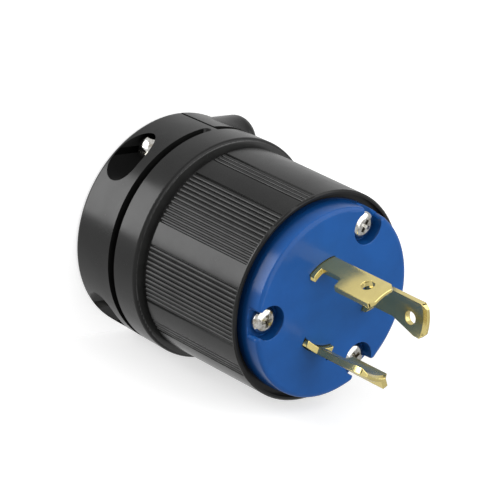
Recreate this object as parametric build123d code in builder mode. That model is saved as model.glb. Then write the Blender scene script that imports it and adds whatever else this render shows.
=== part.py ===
"""Three-blade locking plug in millimetres: +Z runs from the flat cord end to the blade tips."""
import os
from math import cos, radians, sin, sqrt

from build123d import *

os.makedirs("parts", exist_ok=True)

# Lengths stacked up the axis, from the cord end to the blade tips
clamp_length = 12.4
slot_width = 2.2
neck_length = 7.6
waist_length = 1.8
grip_length = 30.6
cap_rise = 4.9
blade_reach = 19.8

# Housing outside: the grip's radius, and how far the other rings stand from it
grip_radius = 25.4
neck_overhang = 1.8
waist_step = 1.4
cord_end_taper = 0.5

# Edge rounds and chamfers of the housing
cord_end_round = 1.2
neck_round = 0.9
rim_chamfer = 0.4

# Walls and hollows of the housing
grip_wall = 2.4
waist_wall = 3.0
rear_cavity_length = 10.0
floor_thickness = 2.6
cord_radius = 11.0
slot_depth = 8.5
slot_margin = 6.0

# Grip ribs: fields of fine grooves either side of two opposite grip axes
grip_axis_turn = 162.5
groove_pitch = 2.58
groove_depth = 0.5
groove_mouth = 0.78
groove_floor = 0.26
rim_lip = 0.8
main_field_offset = 22.4
main_field_count = 13
short_field_offset = 55.2
short_field_count = 4

# Cord clamp: two jaws drawn together across the split by two screws
split_gap = 0.8
clamp_screw_inset = 6.8
clamp_screw_height = 5.4
clamp_screw_shank = 4.0
clamp_head_flats = 6.4
clamp_head_height = 2.8
clamp_seat = 10.2
pocket_radius = 4.2
pocket_reach = 1.7
clamp_boss_radius = 6.2
clamp_boss_end = 17.6
clamp_boss_round = 3.4
clamp_nut_flats = 7.0
clamp_nut_height = 3.2
nut_setback = 0.8

# Blue face cap
cap_depth = 8.5
rim_width = 1.7
cap_draft = 0.4
cap_round = 0.8

# Three assembly screws through the face into the housing
screw_count = 3
screw_turn = 66.6
screw_inset = 4.1
screw_shank = 2.9
screw_head = 5.6
screw_head_height = 2.0
screw_head_round = 1.1
screw_head_drop = 1.0
screw_pocket_radius = 4.1
screw_pocket_gate = 6.2
screw_engagement = 7.0
insert_radius = 2.4
insert_length = 8.0
boss_radius = 4.5
screw_tip_room = 3.0

# Brass blades, formed to arcs about the axis
blade_radius = 11.0
blade_gauge = 1.5
ground_turn = 252.5
ground_width = 8.8
line_turns = (118.2, 7.5)
line_widths = (7.6, 8.6)
notch_depth = 2.6
notch_length = 7.6
root_ledge = 1.25
trailing_notch_depth = 1.9
trailing_notch_start = 1.2
trailing_notch_end = 9.2
trailing_ramp_end = 16.8
tip_corner = 1.2
tip_bevel = 0.35
tip_bevel_height = 1.1
blade_hole = 3.1
blade_hole_height = 14.7
blade_hole_inset = 3.5
hook_reach = 2.9
hook_lean = 45.0
shoulder_step = 1.2
shoulder_height = 3.0

# Wire terminals behind the cap
block_room = 1.4
block_length = 14.5
block_front = 4.0
tab_width = 7.6
tab_length = 10.0
terminal_drop = 8.5
plate_size = 8.6
plate_gauge = 1.4
terminal_shank = 4.0
terminal_head = 7.4
terminal_head_height = 2.6
nut_size = 8.0
nut_height = 3.2
chamber_width = 11.6

# Drive recesses in the screw heads
drive_width = 0.95
drive_span = 3.3
drive_depth = 1.2
drive_taper = 14

# Clearances between pieces that fit
fit_gap = 0.12
thread_gap = 0.08
hole_gap = 0.25
slot_gap = 0.35
cut_over = 1.0

# Heights and sizes that follow from the values above
neck_base = clamp_length + slot_width
waist_base = neck_base + neck_length
grip_base = waist_base + waist_length
rim_height = grip_base + grip_length
face_height = rim_height + cap_rise
tip_height = face_height + blade_reach
floor_height = neck_base + floor_thickness
neck_radius = grip_radius + neck_overhang
cord_end_radius = neck_radius - cord_end_taper
waist_radius = grip_radius - waist_step
rear_cavity_radius = waist_radius - waist_wall
grip_bore = grip_radius - grip_wall
cap_base_radius = grip_radius - rim_width
cap_edge_radius = cap_base_radius - cap_draft
screw_circle = grip_bore - screw_inset
block_radius = grip_bore - block_room
clamp_screw_offset = cord_end_radius - clamp_screw_inset
cap_back = face_height - cap_depth
block_base = cap_back - block_length
seat_height = face_height - screw_head_drop - screw_head_height
blade_inner = blade_radius - blade_gauge / 2
blade_outer = blade_radius + blade_gauge / 2
shoulder_base = cap_back - shoulder_height
terminal_height = cap_back - terminal_drop
tab_end = shoulder_base - tab_length
nut_face = clamp_boss_end - nut_setback
blade_turns = (ground_turn,) + line_turns
blade_widths = (ground_width,) + line_widths


def level(height, turn=0.0):
    """Plane square to the axis, with its X turned about the axis."""
    across = (cos(radians(turn)), sin(radians(turn)), 0)
    return Plane(origin=(0, 0, height), x_dir=across, z_dir=(0, 0, 1))


def outward(turn, reach=0.0):
    """Plane facing out from the axis: local X runs counter-clockwise, local Y runs up."""
    out = Vector(cos(radians(turn)), sin(radians(turn)), 0)
    along = (-sin(radians(turn)), cos(radians(turn)), 0)
    return Plane(origin=out * reach, x_dir=along, z_dir=out)


def ring_radius(height):
    """Outer radius of the tapered clamp ring and neck at a height."""
    return cord_end_radius + (neck_radius - cord_end_radius) * height / waist_base


def corner(sketch, x, y):
    """Corner of a sketch nearest to a point."""
    return sketch.vertices().sort_by_distance((x, y, 0))[0]


def arc_slot(plane, inner, outer, width):
    """Piece of a ring on the plane's +X side, cut to a width."""
    with BuildSketch(plane) as slot:
        Circle(outer)
        Circle(inner, mode=Mode.SUBTRACT)
        with Locations((outer / 2, 0)):
            Rectangle(outer, width, mode=Mode.INTERSECT)
    return slot.sketch


def hook_section(height, room):
    """Section of the ground blade's hook, leaning outward from the blade's counter-clockwise end."""
    pivot_y = ground_width / 2 - blade_gauge / 2
    pivot_x = sqrt(blade_radius**2 - pivot_y**2)
    with BuildSketch(level(height, ground_turn)) as hook:
        with Locations(Location((pivot_x, pivot_y, 0), (0, 0, hook_lean))):
            Circle(blade_gauge / 2 + room)
            Rectangle(hook_reach + room, blade_gauge + 2 * room, align=(Align.MIN, Align.CENTER))
    return hook.sketch


def save(builder, name):
    """Label a finished piece and write it."""
    builder.part.label = name
    export_step(builder.part, f"parts/{name}.step")


# Housing: ribbed grip, waist, neck and the fixed jaw of the cord clamp, one moulding
clamp_sides = (clamp_screw_offset, -clamp_screw_offset)
slot_start = 90 + slot_margin
slot_sweep = 180 - 2 * slot_margin
slot_middle = clamp_length + slot_width / 2
slot_floor_radius = ring_radius(clamp_length) - slot_depth

with BuildPart() as housing:
    with BuildSketch(Plane.XZ) as outside:
        with BuildLine():
            Polyline(
                (0, 0),
                (cord_end_radius, 0),
                (neck_radius, waist_base),
                (waist_radius, waist_base),
                (waist_radius, grip_base),
                (grip_radius, grip_base),
                (grip_radius, rim_height),
                (0, rim_height),
                close=True,
            )
        make_face()
        fillet(corner(outside, cord_end_radius, 0), cord_end_round)
        fillet(corner(outside, neck_radius, waist_base), neck_round)
        chamfer(corner(outside, grip_radius, rim_height), rim_chamfer)
    revolve(axis=Axis.Z)

    # Hollow for the terminals, stepped in behind the waist
    with BuildSketch(Plane.XZ):
        with BuildLine():
            Polyline(
                (0, floor_height),
                (rear_cavity_radius, floor_height),
                (rear_cavity_radius, floor_height + rear_cavity_length),
                (grip_bore, floor_height + rear_cavity_length),
                (grip_bore, rim_height + cut_over),
                (0, rim_height + cut_over),
                close=True,
            )
        make_face()
    revolve(axis=Axis.Z, mode=Mode.SUBTRACT)

    # Columns inside the wall that take the threaded inserts
    with Locations((0, 0, floor_height - cut_over)):
        with PolarLocations(screw_circle, screw_count, screw_turn):
            Cylinder(
                boss_radius,
                block_base - floor_height + cut_over,
                align=(Align.CENTER, Align.CENTER, Align.MIN),
            )
    with BuildSketch(level(block_base)):
        with PolarLocations(screw_circle, screw_count, screw_turn):
            Circle(insert_radius + fit_gap)
    extrude(amount=-insert_length - screw_tip_room, mode=Mode.SUBTRACT)

    # Cord way, and the space of the moving jaw
    with BuildSketch(level(-cut_over)):
        Circle(cord_radius)
    extrude(amount=floor_height + 2 * cut_over, mode=Mode.SUBTRACT)
    with Locations((-split_gap / 2, 0, -cut_over)):
        Box(
            2 * neck_radius,
            3 * neck_radius,
            neck_base + cut_over,
            align=(Align.MIN, Align.CENTER, Align.MIN),
            mode=Mode.SUBTRACT,
        )

    # Slot with round ends between the fixed jaw and the neck
    with BuildSketch(outward(slot_start - 90)):
        with Locations((slot_floor_radius, slot_middle)):
            Rectangle(2 * slot_depth, slot_width, align=(Align.MIN, Align.CENTER))
    revolve(axis=Axis.Z, revolution_arc=slot_sweep, mode=Mode.SUBTRACT)
    for slot_end in (slot_start, slot_start + slot_sweep):
        with BuildSketch(outward(slot_end, slot_floor_radius)):
            with Locations((0, slot_middle)):
                Circle(slot_width / 2)
        extrude(amount=2 * slot_depth, mode=Mode.SUBTRACT)

    # Pockets for the clamp screw heads, and their holes across to the split
    pocket_middle = clamp_screw_offset - pocket_reach / 2
    with BuildSketch(Plane.YZ.offset(-clamp_seat)):
        with Locations((pocket_middle, clamp_screw_height), (-pocket_middle, clamp_screw_height)):
            SlotCenterToCenter(pocket_reach, 2 * pocket_radius)
    extrude(amount=-cord_end_radius, mode=Mode.SUBTRACT)
    with BuildSketch(Plane.YZ.offset(-clamp_seat - cut_over)):
        with Locations(*[(side, clamp_screw_height) for side in clamp_sides]):
            Circle(clamp_screw_shank / 2 + hole_gap)
    extrude(amount=clamp_seat + cut_over, mode=Mode.SUBTRACT)

    # Fine axial grooves that leave the grip ribs standing
    with BuildSketch(level(grip_base - cut_over)):
        for axis_turn in (grip_axis_turn, grip_axis_turn + 180):
            for offset, count in (
                (-short_field_offset, short_field_count),
                (-main_field_offset, main_field_count),
                (main_field_offset, main_field_count),
                (short_field_offset, short_field_count),
            ):
                first = axis_turn + offset - groove_pitch * (count - 1) / 2
                with PolarLocations(grip_radius, count, first, groove_pitch * count):
                    Polygon(
                        (-groove_depth, -groove_floor / 2),
                        (0, -groove_mouth / 2),
                        (groove_depth, -groove_mouth / 2),
                        (groove_depth, groove_mouth / 2),
                        (0, groove_mouth / 2),
                        (-groove_depth, groove_floor / 2),
                        align=None,
                    )
    extrude(amount=grip_length - rim_lip + cut_over, mode=Mode.SUBTRACT)

# Moving jaw of the cord clamp, with a round boss for each screw
with BuildPart() as cord_clamp:
    with BuildSketch(Plane.XZ) as ring:
        with BuildLine():
            Polyline(
                (0, 0),
                (cord_end_radius, 0),
                (ring_radius(clamp_length), clamp_length),
                (0, clamp_length),
                close=True,
            )
        make_face()
        fillet(corner(ring, cord_end_radius, 0), cord_end_round)
    revolve(axis=Axis.Z)
    for side in clamp_sides:
        with BuildSketch(Plane.XY.offset(clamp_screw_height)) as boss:
            with Locations((0, side)):
                Rectangle(clamp_boss_end, clamp_boss_radius, align=(Align.MIN, Align.MIN))
            fillet(corner(boss, clamp_boss_end, side + clamp_boss_radius), clamp_boss_round)
        screw_line = Axis((0, side, clamp_screw_height), (1, 0, 0))
        revolve(axis=screw_line)
    split(bisect_by=Plane.YZ.offset(split_gap / 2), keep=Keep.TOP)
    split(bisect_by=Plane.XY, keep=Keep.TOP)
    with BuildSketch(level(-cut_over)):
        Circle(cord_radius)
    extrude(amount=clamp_length + 2 * cut_over, mode=Mode.SUBTRACT)
    with BuildSketch(Plane.YZ):
        with Locations(*[(side, clamp_screw_height) for side in clamp_sides]):
            Circle(clamp_screw_shank / 2 + hole_gap)
    extrude(amount=clamp_boss_end, mode=Mode.SUBTRACT)
    with BuildSketch(Plane.YZ.offset(nut_face - clamp_nut_height)):
        with Locations(*[(side, clamp_screw_height) for side in clamp_sides]):
            RegularPolygon(clamp_nut_flats / 2 + fit_gap, 6, major_radius=False)
    extrude(amount=clamp_nut_height + nut_setback + cut_over, mode=Mode.SUBTRACT)

# Clamp screws: slotted hexagon heads in the fixed jaw's pockets
with BuildPart() as clamp_screws:
    for side in clamp_sides:
        with BuildSketch(Plane.YZ.offset(-clamp_seat)):
            with Locations((side, clamp_screw_height)):
                RegularPolygon(clamp_head_flats / 2, 6, major_radius=False)
        extrude(amount=-clamp_head_height)
        with BuildSketch(Plane.YZ.offset(-clamp_seat)):
            with Locations((side, clamp_screw_height)):
                Circle(clamp_screw_shank / 2)
        extrude(amount=clamp_seat + nut_face)
        with BuildSketch(Plane.YZ.offset(-clamp_seat - clamp_head_height)):
            with Locations((side, clamp_screw_height)):
                Rectangle(drive_width, 2 * clamp_head_flats)
        extrude(amount=drive_depth, mode=Mode.SUBTRACT)

# Hexagon nuts held in the bosses of the moving jaw
with BuildPart() as clamp_nuts:
    with BuildSketch(Plane.YZ.offset(nut_face - clamp_nut_height)):
        with Locations(*[(side, clamp_screw_height) for side in clamp_sides]):
            RegularPolygon(clamp_nut_flats / 2, 6, major_radius=False)
            Circle(clamp_screw_shank / 2 + thread_gap, mode=Mode.SUBTRACT)
    extrude(amount=clamp_nut_height)

# Face cap: a disc that spigots into the grip, slotted for the blades
with BuildPart() as face_cap:
    with BuildSketch(Plane.XZ) as cap_outline:
        with BuildLine():
            Polyline(
                (0, cap_back),
                (grip_bore - fit_gap, cap_back),
                (grip_bore - fit_gap, rim_height),
                (cap_base_radius, rim_height),
                (cap_edge_radius, face_height),
                (0, face_height),
                close=True,
            )
        make_face()
        fillet(corner(cap_outline, cap_edge_radius, face_height), cap_round)
    revolve(axis=Axis.Z)
    for turn, width in zip(blade_turns, blade_widths):
        root = arc_slot(
            level(cap_back - cut_over, turn),
            blade_inner - slot_gap,
            blade_outer + slot_gap,
            width + 2 * slot_gap,
        )
        extrude(root, amount=cap_depth + 2 * cut_over, mode=Mode.SUBTRACT)
    extrude(hook_section(cap_back - cut_over, slot_gap), amount=cap_depth + 2 * cut_over, mode=Mode.SUBTRACT)
    with BuildSketch(level(seat_height)):
        with PolarLocations(screw_circle, screw_count, screw_turn):
            Circle(screw_pocket_radius)
            Rectangle(cap_base_radius, screw_pocket_gate, align=(Align.MIN, Align.CENTER))
    extrude(amount=cap_depth, mode=Mode.SUBTRACT)
    with BuildSketch(level(cap_back - cut_over)):
        with PolarLocations(screw_circle, screw_count, screw_turn):
            Circle(screw_shank / 2 + hole_gap)
    extrude(amount=cap_depth, mode=Mode.SUBTRACT)

# Assembly screws: pan heads with cross recesses, sunk in the cap's pockets
with BuildPart() as face_screws:
    for screw in range(screw_count):
        turned = level(seat_height, screw_turn + 360 / screw_count * screw)
        centre = turned.location * Location((screw_circle, 0, 0))
        with BuildSketch(Plane(centre)):
            Circle(screw_head / 2)
        extrude(amount=screw_head_height)
        head_top = centre.position + (0, 0, screw_head_height)
        fillet(face_screws.faces().sort_by_distance(head_top)[0].edges(), screw_head_round)
        with BuildSketch(Plane(centre)):
            Circle(screw_shank / 2)
        extrude(amount=-(seat_height - block_base + screw_engagement))
        with BuildSketch(Plane(centre).offset(screw_head_height)):
            Rectangle(drive_span, drive_width)
            Rectangle(drive_width, drive_span)
        extrude(amount=-drive_depth, taper=drive_taper, mode=Mode.SUBTRACT)

# Threaded brass inserts in the housing columns
with BuildPart() as thread_inserts:
    with BuildSketch(level(block_base)):
        with PolarLocations(screw_circle, screw_count, screw_turn):
            Circle(insert_radius)
            Circle(screw_shank / 2 + thread_gap, mode=Mode.SUBTRACT)
    extrude(amount=-insert_length)

# Terminal block: holds the blade shoulders and tabs behind the cap
with BuildPart() as terminal_block:
    with BuildSketch(level(block_base)):
        Circle(block_radius)
        with PolarLocations(screw_circle, screw_count, screw_turn):
            Circle(screw_shank / 2 + hole_gap, mode=Mode.SUBTRACT)
    extrude(amount=block_length)
    for turn, width in zip(blade_turns, blade_widths):
        with BuildSketch(level(block_base - cut_over, turn)):
            with Locations((blade_inner, 0)):
                Rectangle(block_radius, chamber_width, align=(Align.MIN, Align.CENTER))
                Rectangle(
                    nut_height + hole_gap,
                    nut_size + 2 * fit_gap,
                    align=(Align.MAX, Align.CENTER),
                )
        extrude(amount=block_length - block_front + cut_over, mode=Mode.SUBTRACT)
        with BuildSketch(level(block_base, turn)):
            with Locations((blade_radius, 0)):
                Rectangle(blade_gauge + 2 * fit_gap, tab_width + 2 * fit_gap)
        extrude(amount=block_length, mode=Mode.SUBTRACT)
        seat = arc_slot(
            level(shoulder_base, turn),
            blade_inner - fit_gap,
            blade_outer + fit_gap,
            width + 2 * shoulder_step + 2 * fit_gap,
        )
        extrude(seat, amount=shoulder_height + cut_over, mode=Mode.SUBTRACT)


def blade_outline(width, trailing_notch):
    """Stamped outline of a blade, flat: counter-clockwise side to the right, shoulder at the foot."""
    half = width / 2
    notch_top = face_height + notch_length
    ledge = face_height + root_ledge
    leading = [
        (half + shoulder_step, shoulder_base),
        (half + shoulder_step, cap_back),
        (half, cap_back),
        (half, ledge),
        (half - notch_depth, ledge),
        (half - notch_depth, notch_top),
        (half, notch_top),
        (half, tip_height - tip_corner),
        (half - tip_corner, tip_height),
    ]
    trailing = [
        (-half + tip_corner, tip_height),
        (-half, tip_height - tip_corner),
    ]
    if trailing_notch:
        inset = -half + trailing_notch_depth
        trailing += [
            (-half, face_height + trailing_ramp_end),
            (inset, face_height + trailing_notch_end),
            (inset, face_height + trailing_notch_start + trailing_notch_depth),
            (-half, face_height + trailing_notch_start),
        ]
    trailing += [
        (-half, cap_back),
        (-half - shoulder_step, cap_back),
        (-half - shoulder_step, shoulder_base),
    ]
    return leading + trailing


def blade(turn, width, trailing_notch, hooked):
    """Brass blade: an arc-formed strip trimmed to its outline, with a flat terminal tab."""
    with BuildPart() as strip:
        with BuildSketch(Plane.XZ):
            with BuildLine():
                Polyline(
                    (blade_inner, shoulder_base),
                    (blade_outer, shoulder_base),
                    (blade_outer, tip_height - tip_bevel_height),
                    (blade_outer - tip_bevel, tip_height),
                    (blade_inner + tip_bevel, tip_height),
                    (blade_inner, tip_height - tip_bevel_height),
                    close=True,
                )
            make_face()
        revolve(axis=Axis.Z)
        with BuildSketch(outward(turn)):
            Polygon(*blade_outline(width, trailing_notch), align=None)
        extrude(amount=2 * blade_outer, mode=Mode.INTERSECT)
        if hooked:
            hook = hook_section(face_height + notch_length, 0)
            extrude(hook, amount=blade_reach - notch_length - tip_corner)
        with BuildSketch(outward(turn)):
            with Locations((blade_hole_inset - width / 2, face_height + blade_hole_height)):
                Circle(blade_hole / 2)
        extrude(amount=2 * blade_outer, mode=Mode.SUBTRACT)
        with BuildSketch(level(shoulder_base + blade_gauge, turn)):
            with Locations((blade_radius, 0)):
                Rectangle(blade_gauge, tab_width)
        extrude(amount=tab_end - shoulder_base - blade_gauge)
        with BuildSketch(outward(turn)):
            with Locations((0, terminal_height)):
                Circle(terminal_shank / 2 + hole_gap)
        extrude(amount=2 * blade_outer, mode=Mode.SUBTRACT)
    return strip


ground_blade = blade(ground_turn, ground_width, trailing_notch=True, hooked=True)
line_blade_1 = blade(line_turns[0], line_widths[0], trailing_notch=False, hooked=False)
line_blade_2 = blade(line_turns[1], line_widths[1], trailing_notch=True, hooked=False)


def pressure_plate(turn):
    """Square plate that the terminal screw draws against the tab."""
    with BuildPart() as plate:
        with BuildSketch(outward(turn, blade_outer)):
            with Locations((0, terminal_height)):
                Rectangle(plate_size, plate_size)
                Circle(terminal_shank / 2 + hole_gap, mode=Mode.SUBTRACT)
        extrude(amount=plate_gauge)
    return plate


ground_pressure_plate = pressure_plate(ground_turn)
line_pressure_plate_1 = pressure_plate(line_turns[0])
line_pressure_plate_2 = pressure_plate(line_turns[1])


def terminal_screws(turns):
    """Slotted terminal screws, each seated on its pressure plate and threaded into its nut."""
    with BuildPart() as screws:
        for turn in turns:
            seat = outward(turn, blade_outer + plate_gauge)
            with BuildSketch(seat):
                with Locations((0, terminal_height)):
                    Circle(terminal_head / 2)
            extrude(amount=terminal_head_height)
            with BuildSketch(seat):
                with Locations((0, terminal_height)):
                    Circle(terminal_shank / 2)
            extrude(amount=-(plate_gauge + blade_gauge + nut_height))
            with BuildSketch(seat.offset(terminal_head_height)):
                with Locations((0, terminal_height)):
                    Rectangle(2 * terminal_head, drive_width)
            extrude(amount=-drive_depth, mode=Mode.SUBTRACT)
    return screws


ground_terminal_screw = terminal_screws((ground_turn,))
line_terminal_screws = terminal_screws(line_turns)

# Square terminal nuts behind the tabs
with BuildPart() as terminal_nuts:
    for turn in blade_turns:
        with BuildSketch(outward(turn, blade_inner)):
            with Locations((0, terminal_height)):
                Rectangle(nut_size, nut_size)
                Circle(terminal_shank / 2 + thread_gap, mode=Mode.SUBTRACT)
        extrude(amount=-nut_height)

save(housing, "housing")
save(cord_clamp, "cord_clamp")
save(clamp_screws, "clamp_screws")
save(clamp_nuts, "clamp_nuts")
save(face_cap, "face_cap")
save(face_screws, "face_screws")
save(thread_inserts, "thread_inserts")
save(terminal_block, "terminal_block")
save(ground_blade, "ground_blade")
save(line_blade_1, "line_blade_1")
save(line_blade_2, "line_blade_2")
save(ground_pressure_plate, "ground_pressure_plate")
save(line_pressure_plate_1, "line_pressure_plate_1")
save(line_pressure_plate_2, "line_pressure_plate_2")
save(ground_terminal_screw, "ground_terminal_screw")
save(line_terminal_screws, "line_terminal_screws")
save(terminal_nuts, "terminal_nuts")
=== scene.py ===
"""Dresses the packed locking plug with rounded mouldings, grip ribs, fasteners, blades and finishes."""
import math

import bmesh
import bpy
from bpy.props import FloatProperty, FloatVectorProperty, IntProperty, PointerProperty
from mathutils import Matrix, Vector


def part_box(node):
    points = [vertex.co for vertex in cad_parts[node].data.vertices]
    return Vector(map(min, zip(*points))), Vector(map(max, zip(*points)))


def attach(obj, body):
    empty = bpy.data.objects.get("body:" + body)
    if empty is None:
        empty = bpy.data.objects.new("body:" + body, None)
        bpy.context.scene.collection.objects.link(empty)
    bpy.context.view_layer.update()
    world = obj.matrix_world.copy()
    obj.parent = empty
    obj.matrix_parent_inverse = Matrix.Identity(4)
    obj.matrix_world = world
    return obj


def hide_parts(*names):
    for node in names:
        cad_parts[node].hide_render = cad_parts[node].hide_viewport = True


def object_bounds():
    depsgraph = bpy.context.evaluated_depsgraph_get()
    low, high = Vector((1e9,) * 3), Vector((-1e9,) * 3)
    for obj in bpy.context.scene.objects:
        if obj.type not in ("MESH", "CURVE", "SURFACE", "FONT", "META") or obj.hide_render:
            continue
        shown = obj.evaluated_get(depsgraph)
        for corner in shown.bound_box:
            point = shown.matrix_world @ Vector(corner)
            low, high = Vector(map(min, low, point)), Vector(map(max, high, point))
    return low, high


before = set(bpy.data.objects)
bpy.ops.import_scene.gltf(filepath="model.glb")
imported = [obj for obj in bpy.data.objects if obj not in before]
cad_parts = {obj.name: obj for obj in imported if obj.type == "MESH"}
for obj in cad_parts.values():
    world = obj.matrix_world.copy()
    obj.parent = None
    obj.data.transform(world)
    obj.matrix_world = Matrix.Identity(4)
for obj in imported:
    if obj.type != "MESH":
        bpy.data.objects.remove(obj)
CAD_LOW, CAD_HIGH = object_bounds()
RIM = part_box("housing")[1].z
SCREWS_LOW, SCREWS_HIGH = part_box("face_screws")
CLAMP_SCREWS_LOW, CLAMP_SCREWS_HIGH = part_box("clamp_screws")
CLAMP_NUTS_LOW, CLAMP_NUTS_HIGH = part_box("clamp_nuts")
ALONG_X = Matrix.Rotation(math.radians(90), 4, "Y")

bl_info = {
    "name": "Locking plug dressing",
    "version": (1, 0, 0),
    "blender": (4, 5, 0),
    "location": "View3D > Sidebar > Plug",
    "description": "Builds the visible pieces of a three-blade locking plug over its packed solids",
    "category": "Object",
}


def length(name, description, default):
    """Length property in metres."""
    return FloatProperty(name=name, description=description, default=default, unit="LENGTH", precision=5)


def turn(name, description, degrees):
    """Angle property, its default given in degrees."""
    return FloatProperty(name=name, description=description, default=math.radians(degrees), subtype="ANGLE")


def amount(name, description, default, unit="NONE"):
    """Plain number property."""
    return FloatProperty(name=name, description=description, default=default, unit=unit)


def count(name, description, default):
    """Property for how many there are of something."""
    return IntProperty(name=name, description=description, default=default, min=1)


def tone(name, description, colour):
    """Colour property in linear red, green and blue."""
    return FloatVectorProperty(
        name=name, description=description, default=colour, subtype="COLOR", size=3, min=0.0, max=1.0
    )


class PlugGripSettings(bpy.types.PropertyGroup):
    """Ribs and rim of the housing, and how much painted shade darkens its hollows, or painted light lightens
    them below nought
    """

    radius: length("Grip radius", "Radius of the grip over the ribs", 0.0254)
    base: length("Rib start", "Height at which the ribs start", 0.02404)
    run: length("Rib length", "Length of a rib", 0.0299)
    axis: turn("Grip axis", "Turn of the grip's smooth panel about the plug", 162.5)
    pitch: turn("Rib pitch", "Turn from one rib to the next", 2.58)
    main_offset: turn("Main field offset", "Turn from the grip axis to the middle of a wide field", 22.4)
    main_count: count("Main field ribs", "Ribs in a wide field", 12)
    short_offset: turn("Short field offset", "Turn from the grip axis to the middle of a narrow field", 55.2)
    short_count: count("Short field ribs", "Ribs in a narrow field", 3)
    width: length("Rib width", "Width of a rib at its foot", 0.00096)
    depth: length("Rib depth", "Height of a rib from its foot to its top", 0.00040)
    mouth: length("Rim bore", "Radius of the rim's mouth round the face", 0.0245)
    mouth_inner: length("Rim bore inside", "Inner radius of what is cut from the rim", 0.0226)
    mouth_depth: length("Rim bore depth", "Depth of the rim's mouth", 0.0014)
    pocket_radius: length("Clamp pocket radius", "Radius of a clamp screw's pocket", 0.0042)
    pocket_half: length("Clamp pocket half", "Half the straight length of a clamp screw's pocket", 0.00085)
    # Painted shade in the clamp pockets and on the waist; the values below nought paint light instead
    upper_shade: amount("Upper pocket shade", "Darkening of the clamp pocket towards +Y", 1.0)
    lower_shade: amount("Lower pocket shade", "Darkening of the clamp pocket towards -Y", -1.2)
    waist_shade: amount("Waist shade", "Darkening of the waist behind the ribs", -2.4)


class PlugFaceSettings(bpy.types.PropertyGroup):
    """Screw pockets and skirt of the face, and how much painted shade darkens its hollows"""

    pocket_radius: length("Screw pocket radius", "Radius of a screw pocket", 0.0041)
    # Painted shade in the screw pockets, on the wall towards the rim and on the skirt
    pocket_shade: amount("Screw pocket shade", "Darkening of the screw pockets", 0.55)
    wall_shade: amount("Wall shade", "Darkening of the wall at the rim", 0.9)
    wall_fade: length("Wall fade", "Height over which the wall's darkening fades", 0.0041)
    skirt_inner: length("Skirt bore", "Inner radius of the skirt in the rim's mouth", 0.0228)
    skirt_outer: length("Skirt radius", "Outer radius of the skirt before it is drawn in", 0.0237)
    skirt_depth: length("Skirt depth", "Depth of the skirt below the rim", 0.0013)
    skirt_rise: length("Skirt rise", "Height of the skirt over the rim", 0.00004)
    skirt_shade: amount("Skirt shade", "Darkening of the skirt", 0.95)


class PlugFastenerSettings(bpy.types.PropertyGroup):
    """Screws of the face and the cord clamp"""

    face_circle: length("Face screw circle", "Distance of the face screws from the axis", 0.0189)
    face_turn: turn("First face screw", "Turn of the first face screw about the axis", 66.6)
    face_count: count("Face screws", "Number of face screws", 3)
    head_radius: length("Pan head radius", "Radius of a face screw's head", 0.0032)
    head_height: length("Pan head height", "Height of a face screw's head", 0.0020)
    shank_radius: length("Face screw shank", "Radius of a face screw's shank", 0.00145)
    recess_span: length("Recess span", "Span of the cross recess in a face screw", 0.0033)
    recess_width: length("Recess width", "Width of an arm of the cross recess", 0.00095)
    recess_depth: length("Recess depth", "Depth of the cross recess", 0.0012)
    clamp_offset: length("Clamp screw offset", "Distance of a clamp screw from the axis", 0.0199)
    clamp_height: length("Clamp screw height", "Height of the clamp screws over the cord end", 0.0054)
    hex_flats: length("Clamp head flats", "Width over flats of a clamp screw's head", 0.0064)
    hex_height: length("Clamp head height", "Height of a clamp screw's head", 0.0040)
    hex_proud: length("Clamp head stand", "How far a clamp screw stands out past its solid", 0.0012)
    slot_width: length("Clamp slot width", "Width of the slot in a clamp screw's head", 0.0010)
    slot_depth: length("Clamp slot depth", "Depth of the slot in a clamp screw's head", 0.0012)
    clamp_shank: length("Clamp shank", "Radius of a clamp screw's shank", 0.0020)
    nut_flats: length("Clamp nut flats", "Width over flats of a clamp nut", 0.0070)


class PlugFinishSettings(bpy.types.PropertyGroup):
    """Colours of the finishes and how far edges are rounded"""

    black: tone("Black nylon", "Colour of the housing and the cord clamp", (0.0098, 0.0099, 0.0097))
    blue: tone("Blue nylon", "Colour of the face", (0.008, 0.080, 0.300))
    pale: tone("Pale nylon", "Colour of the terminal block", (0.62, 0.58, 0.50))
    brass: tone("Brass", "Colour of the blades and terminals", (0.74, 0.62, 0.25))
    plate: tone("Plated steel", "Colour of the screws and nuts", (0.66, 0.66, 0.64))
    stain: tone("Plate stain", "Colour of the darker patches on the plated steel", (0.24, 0.20, 0.14))
    green: tone("Green steel", "Colour of the ground terminal screw", (0.03, 0.24, 0.07))
    mould_round: length("Moulded edge", "Rounding of the face's crisp edges", 0.00018)
    blade_round: length("Blade edge", "Rounding of the blade edges", 0.00016)


class PlugStageSettings(bpy.types.PropertyGroup):
    """Camera, lamps and floor"""

    lens: amount("Lens", "Focal length in millimetres", 234.1)
    front_power: amount("Front lamp", "Power of the lamp over the face", 4.5, "POWER")
    side_power: amount("Side lamp", "Power of the lamp beside the grip", 5.0, "POWER")
    ambient: amount("Ambient", "Strength of the pale room", 0.52)
    dim: amount("Dim side", "Strength of the room's darker side", 0.34)
    shine: amount("Shine", "How much brighter the room is in reflections", 1.7)
    floor_glow: amount("Floor glow", "Glow of the floor under the cord end", 0.70)
    table_glow: amount("Table glow", "Glow of the sheet that the photographed plug lies on", 0.59)


# Node helpers


def feed(node, inputs):
    """Give inputs of a node a value, a node whose first output they take, or a node and an output's name."""
    for key, told in inputs.items():
        source = (told, 0) if isinstance(told, bpy.types.Node) else told
        if isinstance(source, tuple) and isinstance(source[0], bpy.types.Node):
            node.id_data.links.new(source[0].outputs[source[1]], node.inputs[key])
        else:
            node.inputs[key].default_value = told


def add(tree, kind, inputs=None, **settings):
    """New node of a kind with some of its settings and inputs."""
    node = tree.nodes.new(kind)
    for key, value in settings.items():
        setattr(node, key, value)
    feed(node, inputs or {})
    return node


def reckon(tree, operation, *terms):
    """New Math node of some terms."""
    return add(tree, "ShaderNodeMath", dict(enumerate(terms)), operation=operation)


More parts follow.
